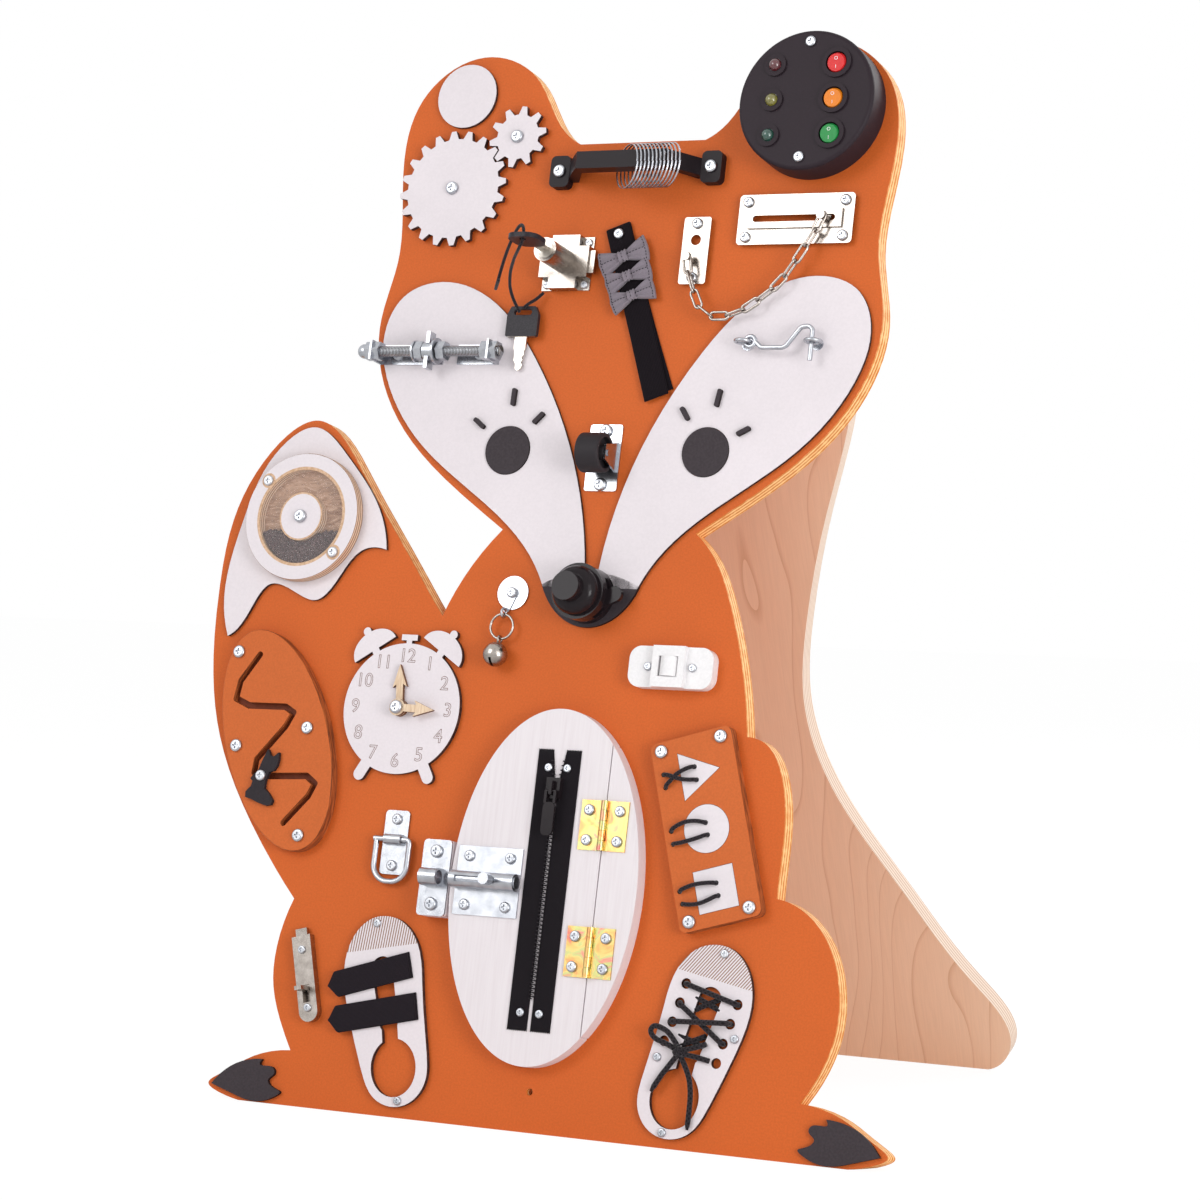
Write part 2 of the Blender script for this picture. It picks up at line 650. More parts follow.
def rainbow_zinc(name, on_board_side):
    """Yellow-passivated zinc with its rainbow bloom; screws, and on the door the bolt, stay plain zinc."""
    look = Finish(name, 0.3, 1.0)
    place = look.board()
    x, _, z = parts_of(place)
    bloom = noise(place, 55.0, 3.0, 0.6, 1.2)
    gold = ramp(bloom, (0.30, paint(208, 118, 104)), (0.42, paint(214, 166, 102)),
                (0.50, paint(216, 184, 118)), (0.58, paint(176, 184, 122)), (0.68, paint(214, 132, 122)))
    zinc = ramp(noise(place, 130.0, 4.0), (0.3, paint(170, 173, 180)), (0.7, paint(202, 204, 209)))
    leaf = z < HINGE_LEAF_TOP * MM
    if on_board_side:
        hinge = ((x - DOOR_SPLIT_X * MM).step("ABSOLUTE") < HINGE_KNUCKLE * MM) | leaf
    else:
        hinge = (x > DOOR_HINGE_X * MM) & (leaf | (x > DOOR_KNUCKLE_X * MM))
    return look.done(mix(hinge, zinc, gold), noise(place, 700.0), 0.02, 0.3)


def key_finish(name, axis, split):
    """A key: a nickel blade, and a black moulded bow above a place along one axis, in millimetres."""
    look = Finish(name, 0.35)
    place = look.board()
    black = parts_of(place)[axis] > split * MM
    nickel = ramp(noise(place, 200.0), (0.3, paint(176, 168, 158)), (0.7, paint(222, 216, 206)))
    moulded = ramp(noise(place, 900.0), (0.3, paint(34, 31, 36)), (0.7, paint(54, 50, 55)))
    look.set("Metallic", black < 0.5)
    return look.done(mix(black, nickel, moulded), noise(place, 1200.0), 0.03, 0.3)


# ------------------------------------------------------------ plastic finishes
def moulded_plastic(name, colour, roughness, grain=900.0, depth=0.05):
    """Moulded plastic with a fine eroded texture."""
    look = Finish(name, roughness)
    place = look.own()
    shade = ramp(noise(place, grain), (0.35, tone(colour, 0.94)), (0.65, colour))
    return look.done(shade, noise(place, grain, 3.0, 0.6), depth, 0.45)


def lens_plastic():
    """The three lamp lenses: dark red, olive and dark green from the top down."""
    look = Finish("lens_plastic", 0.12, 0.0, 0.7)
    place = look.board()
    y = parts_of(place)[1]
    lower = mix(y > LENS_LOW * MM, paint(28, 74, 62), paint(122, 116, 48))
    colour = mix(y > LENS_HIGH * MM, lower, paint(92, 34, 40))
    depth = ramp(noise(place, 300.0), (0.3, grey(0.75)), (0.7, grey(1.1)))
    look.set("Coat Weight", 0.8)
    return look.done(tinted(colour, depth), noise(place, 500.0), 0.02, 0.2)


def clear_plastic():
    """The drum's clear window, with faint scuffs."""
    look = Finish("clear_plastic", 0.06)
    scuffs = noise(mapped(look.own(), Scale=(1.0, 4.0, 1.0)), 500.0, 4.0)
    look.set("Base Color", ramp(scuffs, (0.3, paint(244, 244, 246)), (0.7, paint(255, 255, 255))))
    look.set("Alpha", fade(scuffs, -0.2, 14.0))
    look.material.surface_render_method = "BLENDED"
    return look.material


def cat_finish():
    """Matt black cat with a bright screw through it."""
    look = Finish("cat_finish", 0.55)
    place = look.board()
    screw = parts_of(place)[2] > CAT_TOP * MM
    black = varied(place, paint(44, 39, 43), 0.12, 600.0)
    look.set("Metallic", screw)
    return look.done(mix(screw, black, paint(206, 209, 214)), noise(place, 900.0), 0.05, 0.35)


# ------------------------------------------------------------ cloth and cord finishes
def webbing(name, dark, light, pitch):
    """Woven tape: slanted ribs with a thread pitch in millimetres, and soft fibres."""
    look = Finish(name, 0.85, 0.0, 0.08)
    along, across = look.cloth()
    run = along * (2 * pi / (pitch * MM))
    side = across * (2 * pi / (pitch * 1.6 * MM))
    weave = (run + side).step("SINE") * (run - side).step("COSINE")
    height = weave + noise(look.own(), 2200.0)
    look.set("Sheen Weight", 0.06)
    look.set("Sheen Roughness", 0.5)
    return look.done(ramp(fade(height, -0.6, 1.4), (0.2, dark), (0.8, light)), height, 0.25, 0.6)


def braided(name, dark, light, plait_length):
    """Braided cord: crossing plaits round it, read from the cord's own coordinates."""
    look = Finish(name, 0.8, 0.0, 0.1)
    along, around = look.cloth()
    run = along * (2 * pi / (plait_length * MM))
    turn = around * (2 * pi * 4)
    plait = (run + turn).step("SINE").step("MAXIMUM", (run - turn).step("SINE"))
    height = plait + noise(look.own(), 2600.0) * 0.8
    look.set("Sheen Weight", 0.2)
    return look.done(ramp(fade(height, 0.0, 1.8), (0.1, dark), (0.9, light)), height, 0.3, 0.6)


def bow_linen(light):
    """The bows' linen, woven from threads 0.9 mm apart."""
    look = Finish("bow_linen", 0.9, 0.0, 0.2)
    along, across = look.cloth()
    weave = wave(along, 0.9) * wave(across, 0.9) + noise(look.own(), 900.0, 4.0, 0.6)
    colour = ramp(fade(weave, -0.6, 1.6), (0.1, tone(light, 0.55)), (0.9, light))
    look.set("Sheen Weight", 0.2)
    return look.done(colour, weave, 0.12, 0.6)


def grain_finish():
    """Dark seeds, each with its own shade."""
    look = Finish("grain_finish")
    patch = noise(look.own(), 1100.0, 2.0)
    colour = ramp(patch, (0.35, paint(52, 38, 38)), (0.55, paint(96, 74, 74)), (0.72, paint(158, 132, 130)))
    return look.done(colour, patch, 0.05, 0.4)


# ------------------------------------------------------------ mesh helpers
def piece_from(name, vertices, faces, material, body, uvs=None, wrap=False):
    """A mesh piece from points in metres; uvs gives each vertex its place on the cloth."""
    mesh = bpy.data.meshes.new(name)
    mesh.from_pydata([tuple(v) for v in vertices], [], faces)
    if uvs:
        layer = mesh.uv_layers.new(name="UVMap")
        for loop in mesh.loops:
            layer.data[loop.index].uv = uvs[loop.vertex_index]
    if uvs and wrap:
        for face in mesh.polygons:
            around = [mesh.uv_layers[0].data[k].uv for k in face.loop_indices]
            if max(uv[1] for uv in around) - min(uv[1] for uv in around) > 0.6:
                for uv in around:
                    uv[1] += 1.0 if uv[1] < 0.4 else 0.0
    mesh.polygons.foreach_set("use_smooth", [True] * len(mesh.polygons))
    mesh.update()
    return placed(name, mesh, material, body)


def placed(name, mesh, material, body):
    """Puts a finished mesh in the scene, on the body that carries it."""
    piece = bpy.data.objects.new(name, mesh)
    bpy.context.scene.collection.objects.link(piece)
    mesh.materials.clear()
    mesh.materials.append(material)
    if body:
        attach(piece, body)
    return piece


def outward(piece):
    """Merges doubles and turns every face outwards."""
    shape = bmesh.new()
    shape.from_mesh(piece.data)
    bmesh.ops.remove_doubles(shape, verts=shape.verts, dist=1e-6)
    bmesh.ops.recalc_face_normals(shape, faces=shape.faces)
    shape.to_mesh(piece.data)
    shape.free()
    return piece


def route_line(route):
    """The smooth line that a cord follows: an open NURBS spline through the route's places."""
    curve = bpy.data.curves.new("route", "CURVE")
    curve.dimensions = "3D"
    spline = curve.splines.new("NURBS")
    spline.points.add(len(route) - 1)
    for point, place in zip(spline.points, route):
        point.co = (*on_board(*place), 1.0)
    spline.order_u = 3
    spline.use_endpoint_u = True
    spline.resolution_u = 12
    carrier = bpy.data.objects.new("route", curve)
    bpy.context.scene.collection.objects.link(carrier)
    mesh = bpy.data.meshes.new_from_object(carrier.evaluated_get(bpy.context.evaluated_depsgraph_get()))
    line = [v.co.copy() for v in mesh.vertices]
    bpy.data.objects.remove(carrier)
    bpy.data.curves.remove(curve)
    bpy.data.meshes.remove(mesh)
    return line


def even_steps(line, step):
    """The same line with points an even step apart."""
    out = [line[0]]
    left = step
    for start, stop in zip(line, line[1:]):
        run = (stop - start).length
        while run > 1e-9 and left <= run:
            start = start.lerp(stop, left / run)
            out.append(start)
            run = (stop - start).length
            left = step
        left -= run
    if (out[-1] - line[-1]).length > step * 0.3:
        out.append(line[-1])
    return out


def ring_faces(rings, count):
    """The faces between closed rings of points that follow each other."""
    faces = []
    for k in range(rings - 1):
        for j in range(count):
            a = k * count + j
            b = k * count + (j + 1) % count
            faces.append((a, b, b + count, a + count))
    return faces


def tube_piece(name, line, radius, material, body, taper=0.0):
    """A round cord drawn along a line; its far end may taper."""
    sides = 18
    line = even_steps(line, radius * TUBE_STEP)
    last = len(line) - 1
    side_way = (line[1] - line[0]).normalized().orthogonal().normalized()
    vertices, uvs, run = [], [], 0.0
    for k, here in enumerate(line):
        ahead = (line[min(k + 1, last)] - line[max(k - 1, 0)]).normalized()
        side_way = (side_way - ahead * side_way.dot(ahead)).normalized()
        other = ahead.cross(side_way)
        run += (here - line[k - 1]).length if k else 0.0
        from_end = min(1.0, (last - k) * TUBE_STEP / TAPER_REACH) if taper else 1.0
        size = radius * (1 - taper * (1 - from_end))
        for j in range(sides):
            a = 2 * pi * j / sides
            vertices.append(here + (side_way * cos(a) + other * sin(a)) * size)
            uvs.append((run, j / sides))
    faces = ring_faces(len(line), sides)
    for first, tip, reach in ((0, line[0], 0.0), (last * sides, line[-1], run)):
        vertices.append(tip)
        uvs.append((reach, 0.5))
        middle = len(vertices) - 1
        for j in range(sides):
            face = (first + (j + 1) % sides, first + j, middle)
            faces.append(face if first == 0 else face[::-1])
    return piece_from(name, vertices, faces, material, body, uvs, wrap=True)


def ring_body(name, rings, material, body, uvs):
    """A closed form drawn through rings of points, with its two ends closed."""
    count = len(rings[0])
    vertices = [point for ring in rings for point in ring]
    faces = ring_faces(len(rings), count)
    faces.append(tuple(reversed(range(count))))
    faces.append(tuple(range(len(vertices) - count, len(vertices))))
    return outward(piece_from(name, vertices, faces, material, body, uvs))


def band_section(columns=12):
    """The outline of a band's cut: shares of its width and thickness, with eased edges."""
    top = [(-0.47 + 0.94 * k / columns, 0.5) for k in range(columns + 1)]
    under = [(0.47 - 0.94 * k / columns, -0.5) for k in range(columns + 1)]
    return [*top, (0.5, 0.2), (0.5, -0.2), *under, (-0.5, -0.2), (-0.5, 0.2)]


def band_piece(name, stations, width, thickness, material, body, point=0.0):
    """A flat band along stations, each a centre and an across direction; point gives it an arrow end."""
    section = band_section()
    last = len(stations) - 1
    length = length_of([centre for centre, _ in stations])
    rings, uvs, run = [], [], 0.0
    for k, (centre, across) in enumerate(stations):
        ahead = (stations[min(k + 1, last)][0] - stations[max(k - 1, 0)][0]).normalized()
        up = across.cross(ahead).normalized()
        run += (centre - stations[k - 1][0]).length if k else 0.0
        narrow = max(0.04, min(1.0, (length - run) / point)) if point else 1.0
        ring = []
        for side, rise in section:
            ring.append(centre + across * (side * width * narrow) + up * (rise * thickness))
            uvs.append((run, side * width * narrow))
        rings.append(ring)
    return ring_body(name, rings, material, body, uvs)


# ------------------------------------------------------------ geometry nodes helpers
def growth(name, **inputs):
    """A new geometry tree whose named inputs have these defaults, and the node that gives them."""
    tree = bpy.data.node_groups.new(name, "GeometryNodeTree")
    tree.is_modifier = True
    tree.interface.new_socket("Geometry", in_out="INPUT", socket_type="NodeSocketGeometry")
    for label, default in inputs.items():
        socket = tree.interface.new_socket(label, in_out="INPUT", socket_type=SOCKETS[type(default)])
        socket.default_value = default
    tree.interface.new_socket("Geometry", in_out="OUTPUT", socket_type="NodeSocketGeometry")
    return tree, add(tree, "NodeGroupInput")


def close_growth(tree, points, piece, material, **inputs):
    """Ends a tree: the piece at every point, made real, with its finish."""
    many = add(tree, "GeometryNodeInstanceOnPoints", {"Points": points, "Instance": piece, **inputs})
    real = add(tree, "GeometryNodeRealizeInstances", {0: many})
    coloured = add(tree, "GeometryNodeSetMaterial", {"Geometry": real, "Material": material})
    add(tree, "NodeGroupOutput", {0: coloured})
    return tree


def grown(name, carrier, tree, values, material, body):
    """Runs a tree on a carrier and keeps the result as a plain mesh on its body."""
    modifier = carrier.modifiers.new(tree.name, "NODES")
    modifier.node_group = tree
    for item in tree.interface.items_tree:
        if item.item_type == "SOCKET" and item.in_out == "INPUT" and item.name in values:
            modifier[item.identifier] = values[item.name]
    depsgraph = bpy.context.evaluated_depsgraph_get()
    depsgraph.update()
    mesh = bpy.data.meshes.new_from_object(carrier.evaluated_get(depsgraph))
    mesh.name = name
    carrier.modifiers.remove(modifier)
    bpy.data.objects.remove(carrier)
    return placed(name, mesh, material, body)


def carrier_from(vertices, edges=(), faces=()):
    """A plain mesh object that a geometry tree starts from."""
    mesh = bpy.data.meshes.new("carrier")
    mesh.from_pydata([tuple(v) for v in vertices], list(edges), list(faces))
    carrier = bpy.data.objects.new("carrier", mesh)
    bpy.context.scene.collection.objects.link(carrier)
    return carrier


# ------------------------------------------------------------ cords, bands and cloth
def length_of(line):
    """How long a line is, in metres."""
    return sum((stop - start).length for start, stop in zip(line, line[1:]))


def free_cord(name, route, radius, material, body, slot, taper=0.0, **facts):
    """A free cord along its route, declared with its real length and thickness."""
    line = route_line(route)
    piece = tube_piece(name, line, radius, material, body, taper)
    length_of(line)
    return piece


def short_cord(name, route, radius, material, body, slot):
    """A short stretch of cord that is pulled tight between two places."""
    return tube_piece(name, route_line(route), radius, material, body)


def knot_piece(name, centre, size, material, body, slot):
    """A tight knot: a ball with crossing turns of cord round it."""
    shape = bmesh.new()
    bmesh.ops.create_icosphere(shape, subdivisions=4, radius=1.0)
    vertices, uvs = [], []
    for v in shape.verts:
        around = atan2(v.co.y, v.co.x)
        turns = 0.10 * cos(3 * around + 4.0 * v.co.z) + 0.08 * cos(9.0 * v.co.z)
        swell = size * (0.92 + turns)
        vertices.append(on_board(centre[0] + v.co.x * swell * 1.1, centre[1] + v.co.y * swell,
                                 centre[2] + v.co.z * swell * 0.85))
        uvs.append((around * size * MM, v.co.z * 0.5))
    faces = [tuple(v.index for v in face.verts) for face in shape.faces]
    shape.free()
    return outward(piece_from(name, vertices, faces, material, body, uvs))


def ribbon_stations():
    """The ribbon's line: up its back layer, over the top, and down its front layer."""
    across = (on_board(*on_strap(0, 1), 0) - on_board(*on_strap(0, 0), 0)).normalized()
    places = []
    for k in range(RIBBON_STEPS + 1):
        along = RIBBON_BACK_END - (RIBBON_BACK_END - RIBBON_TOP) * k / RIBBON_STEPS
        aside = RIBBON_STRAY * max(0.0, (along - 62.0) / 74.0) ** 1.3
        places.append((along, aside, RIBBON_BACK_Z))
    for k in range(1, FOLD_STEPS):
        turn = pi * k / FOLD_STEPS
        rise = RIBBON_FOLD * (1 - cos(turn))
        places.append((RIBBON_TOP - RIBBON_FOLD * sin(turn), 0.0, RIBBON_BACK_Z + rise))
    for k in range(RIBBON_STEPS + 1):
        along = RIBBON_TOP + (RIBBON_FRONT_END - RIBBON_TOP) * k / RIBBON_STEPS
        lift = 0.25 * sin(along / 19.0) * min(1.0, max(0.0, (along - 70.0) / 20.0))
        places.append((along, 0.0, RIBBON_BACK_Z + 2 * RIBBON_FOLD + lift))
    return [(on_board(*on_strap(along, aside), z), across) for along, aside, z in places]


def bow_point(along, x, y, z):
    """A place on a bow, given along its wings and across them."""
    spot = turned(x, y, on_strap(along, 0), STRAP_ANGLE + BOW_TURN)
    return on_board(*spot, BOW_FLOOR + z)


def wing_reach(u, v):
    """How far out a wing's place lies: u runs along the wing, and v from -1 to 1 across it."""
    return WING_START + WING_LENGTH * u - 1.3 * v * v * u


def wing_half(u, scale):
    """Half the wing's width at a share of its length."""
    return scale * (3.0 + 7.4 * u ** 0.85)


def wing_top(u, v):
    """The wing's height: full near the knot, with pleats that run out from it."""
    pleats = 0.75 * (1 - 0.35 * u) * cos(v * pi * 2.6)
    return (2.1 + 1.5 * sin(pi * min(1.0, u * 0.9 + 0.05))) * (1 - 0.45 * v ** 4) + pleats


def bow_wing(name, along, scale, side, material):
    """One gathered wing of a bow: its pleated top and its flat, slightly narrower underside."""
    rings, uvs = [], []
    for k in range(WING_RINGS + 1):
        u = k / WING_RINGS
        half = wing_half(u, scale)
        ring = []
        for under in (False, True):
            for j in range(WING_COLUMNS + 1):
                share = 2 * j / WING_COLUMNS - 1
                v = -share if under else share
                y = v * half * (0.98 if under else 1.0)
                z = 0.0 if under else wing_top(u, v)
                ring.append(bow_point(along, side * scale * wing_reach(u, v), y, z))
                uvs.append((u * 0.02, v * half * MM))
        rings.append(ring)
    return ring_body(name, rings, material, "strap_body", uvs)


def bow_knot(name, along, scale, material):
    """The band pulled round the middle of a bow."""
    rings, uvs = [], []
    for k in range(KNOT_RINGS + 1):
        x = scale * (KNOT_WIDTH * k / KNOT_RINGS - KNOT_WIDTH / 2)
        pinch = 1.0 + 0.10 * cos(5 * pi * (k / KNOT_RINGS - 0.5))
        ring = []
        for j in range(KNOT_SIDES):
            a = 2 * pi * j / KNOT_SIDES
            z = max(0.0, KNOT_MIDDLE_Z + KNOT_RISE * sin(a) * pinch)
            ring.append(bow_point(along, x, KNOT_HALF * scale * cos(a) * pinch, z))
            uvs.append((x * MM, a * 0.002))
        rings.append(ring)
    return ring_body(name, rings, material, "strap_body", uvs)


def stitch_tree(material):
    """Short dark stitches that follow a line, a set pitch apart."""
    tree, source = growth("stitches", Pitch=0.0021, Length=0.0013, Thickness=0.0003)
    line = add(tree, "GeometryNodeMeshToCurve", {"Mesh": source["Geometry"]})
    along = {"Curve": line, "Length": source["Pitch"]}
    points = add(tree, "GeometryNodeCurveToPoints", along, "Points", mode="LENGTH")
    size = {"Vertices": 8, "Side Segments": 3, "Radius": source["Thickness"], "Depth": source["Length"]}
    thread = add(tree, "GeometryNodeMeshCylinder", size, "Mesh")
    laid = add(tree, "FunctionNodeAlignRotationToVector", {"Vector": points["Tangent"]}, axis="Z")
    return close_growth(tree, points, thread, material, Rotation=laid)


def joined(lines):
    """The points of several lines, and the edges along each."""
    vertices, edges = [], []
    for line in lines:
        first = len(vertices)
        vertices += line
        edges += [(first + k, first + k + 1) for k in range(len(line) - 1)]
    return vertices, edges


def stitch_lines():
    """The rows of stitches on the bows: across the wings' ends, along the wings and over the knots."""
    lines = []
    for along, scale in BOWS:
        for side in (-1, 1):
            end = []
            for j in range(13):
                v = -0.86 + 1.72 * j / 12
                x = side * scale * wing_reach(STITCHED_END, v)
                z = wing_top(STITCHED_END, v) + STITCH_RISE
                end.append(bow_point(along, x, v * wing_half(STITCHED_END, scale), z))
            middle = []
            for k in range(10):
                x = side * scale * (4.0 + 13.0 * k / 9)
                middle.append(bow_point(along, x, 0.0, wing_top(0.12 + 0.71 * k / 9, 0.0) + STITCH_RISE))
            lines += [end, middle]
        over_knot = []
        for y in (-3.6, -1.8, 0.0, 1.8, 3.6):
            arch = sqrt(max(0.0, 1 - (y / (KNOT_HALF * scale)) ** 2))
            over_knot.append(bow_point(along, 0.0, y, KNOT_STITCH_Z + KNOT_RISE * arch))
        lines.append(over_knot)
    return joined(lines)


def flat_piece(name, rows, thickness, material, body, uvs):
    """A thin sheet through rows of points on its outer side; it lies on the board's face."""
    down = -Vector(BOARD_NORMAL) * thickness
    high, wide = len(rows), len(rows[0])
    top = [point for row in rows for point in row]
    vertices = top + [point + down for point in top]
    under = len(top)
    faces = []
    for k in range(high - 1):
        for j in range(wide - 1):
            a = k * wide + j
            faces.append((a, a + 1, a + wide + 1, a + wide))
            faces.append((under + a, under + a + wide, under + a + wide + 1, under + a + 1))
    rim = list(range(wide))
    rim += [k * wide + wide - 1 for k in range(1, high)]
    rim += list(range(high * wide - 2, (high - 1) * wide - 1, -1))
    rim += [k * wide for k in range(high - 2, 0, -1)]
    for k, a in enumerate(rim):
        b = rim[(k + 1) % len(rim)]
        faces.append((b, a, under + a, under + b))
    return outward(piece_from(name, vertices, faces, material, body, uvs + uvs))


def tape_rows(side):
    """The outer side of one zipper tape, with its pinked ends and its edge that parts above the slider."""
    rows, uvs = [], []
    for k in range(TAPE_ROWS + 1):
        row = []
        for j in range(TAPE_COLUMNS + 1):
            notch = TAPE_NOTCH if j % 2 else 0.0
            y = ZIP_BOTTOM + notch + (ZIP_TOP - ZIP_BOTTOM - 2 * notch) * k / TAPE_ROWS
            inner = TAPE_INNER + max(0.0, y - ZIP_PARTS_Y) * TAPE_PARTING
            x = ZIP_X + side * (inner + (TAPE_OUTER - inner) * j / TAPE_COLUMNS)
            row.append(on_board(x, y, TAPE_Z))
            uvs.append((y * MM, x * MM))
        rows.append(row)
    return rows, uvs


def tooth_tree(material):
    """Zipper teeth along a line, every other one on the other side."""
    tree, source = growth("teeth", Pitch=0.0014, Size=(0.003, 0.001, 0.0015), Shift=(0.0009, 0.0, 0.0),
                          Lean=TOOTH_LEAN)
    line = add(tree, "GeometryNodeMeshToCurve", {"Mesh": source["Geometry"]})
    along = {"Curve": line, "Length": source["Pitch"]}
    spots = add(tree, "GeometryNodeResampleCurve", along, mode="LENGTH")
    points = add(tree, "GeometryNodeCurveToPoints", {"Curve": spots}, "Points", mode="EVALUATED")
    way = add(tree, "GeometryNodeInputIndex").step("MODULO", 2.0) * 2.0 - 1.0
    aside = add(tree, "ShaderNodeVectorMath", {0: source["Shift"], "Scale": way}, operation="SCALE")
    moved = add(tree, "GeometryNodeSetPosition", {"Geometry": points, "Offset": aside})
    tooth = add(tree, "GeometryNodeMeshUVSphere", {"Segments": 8, "Rings": 5, "Radius": 0.5}, "Mesh")
    return close_growth(tree, moved, tooth, material, Rotation=source["Lean"], Scale=source["Size"])


def grain_tree(material):
    """Grains strewn over a surface, each of its own size."""
    tree, source = growth("grains", Spacing=0.001, Density=4000000.0, Smallest=0.0005, Largest=0.0008, Seed=7)
    strewing = {"Mesh": source["Geometry"], "Distance Min": source["Spacing"],
                "Density Max": source["Density"], "Seed": source["Seed"]}
    strewn = add(tree, "GeometryNodeDistributePointsOnFaces", strewing, "Points", distribute_method="POISSON")
    grain = add(tree, "GeometryNodeMeshIcoSphere", {"Radius": 1.0, "Subdivisions": 2}, "Mesh")
    range_of_sizes = {2: source["Smallest"], 3: source["Largest"], "Seed": source["Seed"]}
    size = add(tree, "FunctionNodeRandomValue", range_of_sizes, 1, data_type="FLOAT")
    return close_growth(tree, strewn, grain, material, Scale=size)


def heap_surface():
    """The top of the heap of grains in the drum, and its slope at the open edge."""
    middle_x, middle_y = DRUM_CENTRE
    steps, across = HEAP_STEPS, HEAP_COLUMNS
    vertices, faces = [], []
    for k in range(steps + 1):
        angle = radians(HEAP_FROM - HEAP_TURN * k / steps)
        inner = max(HEAP_INNER, HEAP_LEVEL / -sin(angle))
        for j in range(across + 1):
            reach = inner + (HEAP_OUTER - inner) * j / across
            vertices.append(on_board(middle_x + reach * cos(angle), middle_y + reach * sin(angle), HEAP_Z))
    for k in range(steps):
        for j in range(across):
            a = k * (across + 1) + j
            faces.append((a, a + 1, a + across + 2, a + across + 1))
    for side in (-1, 1):
        first = len(vertices)
        for j in range(across + 1):
            x = middle_x + side * (EDGE_INNER + EDGE_WIDTH * j / across)
            foot = middle_y - HEAP_LEVEL
            vertices.append(on_board(x, foot, HEAP_Z))
            vertices.append(on_board(x, foot + EDGE_SLOPE + 0.8 * sin(j * 1.7), HEAP_FOOT_Z))
        for j in range(across):
            a = first + 2 * j
            faces.append((a, a + 2, a + 3, a + 1))
    return vertices, faces


def coil_tree(material, count):
    """Rings of two turns of wire, hung side by side."""
    tree, source = growth("coils", Count=count, Pitch=(-0.0022, 0.0, 0.0), Start=(0.0, 0.0, 0.0),
                          Turn=(0.0, 0.0, 0.0), Radius=0.016, Wire=0.00045)
    places = {"Count": source["Count"], "Start Location": source["Start"], "Offset": source["Pitch"]}
    row = add(tree, "GeometryNodeMeshLine", places, mode="OFFSET")
    turns = {"Resolution": 40, "Rotations": 2.0, "Start Radius": source["Radius"],
             "End Radius": source["Radius"], "Height": source["Wire"] * 2.0}
    coil = add(tree, "GeometryNodeCurveSpiral", turns)
    wire = add(tree, "GeometryNodeCurvePrimitiveCircle", {"Resolution": 8, "Radius": source["Wire"]})
    solid = add(tree, "GeometryNodeCurveToMesh", {"Curve": coil, "Profile Curve": wire, "Fill Caps": True})
    return close_growth(tree, row, solid, material, Rotation=source["Turn"])


def written(name, words, height, centre, z, material, body, line=0.0, tilt=0.0):
    """Numbers or letters on the board: thin outlines when line is given, else a low relief."""
    curve = bpy.data.curves.new(name, "FONT")
    curve.body = words
    curve.size = height * MM / CAPITAL_SHARE
    curve.align_x = "CENTER"
    curve.align_y = "CENTER"
    curve.resolution_u = 4
    if line:
        curve.fill_mode = "NONE"
        curve.bevel_depth = line * MM
        curve.bevel_resolution = 1
    else:
        curve.extrude = RELIEF * MM
    carrier = bpy.data.objects.new(name, curve)
    bpy.context.scene.collection.objects.link(carrier)
    mesh = bpy.data.meshes.new_from_object(carrier.evaluated_get(bpy.context.evaluated_depsgraph_get()))
    bpy.data.objects.remove(carrier)
    stand = Matrix.Rotation(pi / 2 - LEAN, 4, "X") @ Matrix.Rotation(radians(tilt), 4, "X")
    mesh.transform(Matrix.Translation(on_board(*centre, z)) @ stand)
    mesh.name = name
    return placed(name, mesh, material, body)


# ------------------------------------------------------------ sizes and colours that a user may change
def colour_setting(name, description, default):
    """A colour in the panel."""
    return bpy.props.FloatVectorProperty(name=name, description=description, default=default,
                                         subtype="COLOR", size=4, min=0.0, max=1.0)


def length_setting(name, description, default):
    """A length in the panel, in metres."""
    return bpy.props.FloatProperty(name=name, description=description, default=default,
                                   subtype="DISTANCE", unit="LENGTH")


class BusyBoardColours(bpy.types.PropertyGroup):
    """Colours of the board's main surfaces."""

    board_colour: colour_setting("Board", "Orange stain on the fox panel", paint(209, 100, 42))
    edge_colour: colour_setting("Edge", "Lightest wood on the board's routed edge", paint(252, 204, 142))
    white_colour: colour_setting("White plates", "Face of the white plates", paint(232, 224, 228))
    linen_colour: colour_setting("Bows", "Linen of the three bows", paint(150, 140, 150))


class BusyBoardSizes(bpy.types.PropertyGroup):
    """Sizes of the soft parts and of the small repeated parts."""

    ribbon_width: length_setting("Ribbon width", "Width of the ribbon under the bows", 0.0195)
    ribbon_thickness: length_setting("Ribbon thickness", "Thickness of one layer of the ribbon", 0.0011)
    shape_cord_radius: length_setting("Shape cord radius", "Radius of the cords on the shape board", 0.0015)
    key_cord_radius: length_setting("Key cord radius", "Radius of the keys' cord", 0.0012)
    lace_radius: length_setting("Lace radius", "Radius of the shoe lace", 0.0019)
    grain_spacing: length_setting("Grain spacing", "Least distance between two grains in the drum", 0.00095)
    tooth_pitch: length_setting("Tooth pitch", "Distance between the teeth of the zipper", 0.0014)
    stitch_pitch: length_setting("Stitch pitch", "Distance between the stitches on the bows", 0.0022)
    ring_count: bpy.props.IntProperty(
        name="Rings", description="Number of wire rings on the handle", default=12, min=1, max=12)


def finish(name):
    """A finish that the first operator has made."""
    return bpy.data.materials[name]


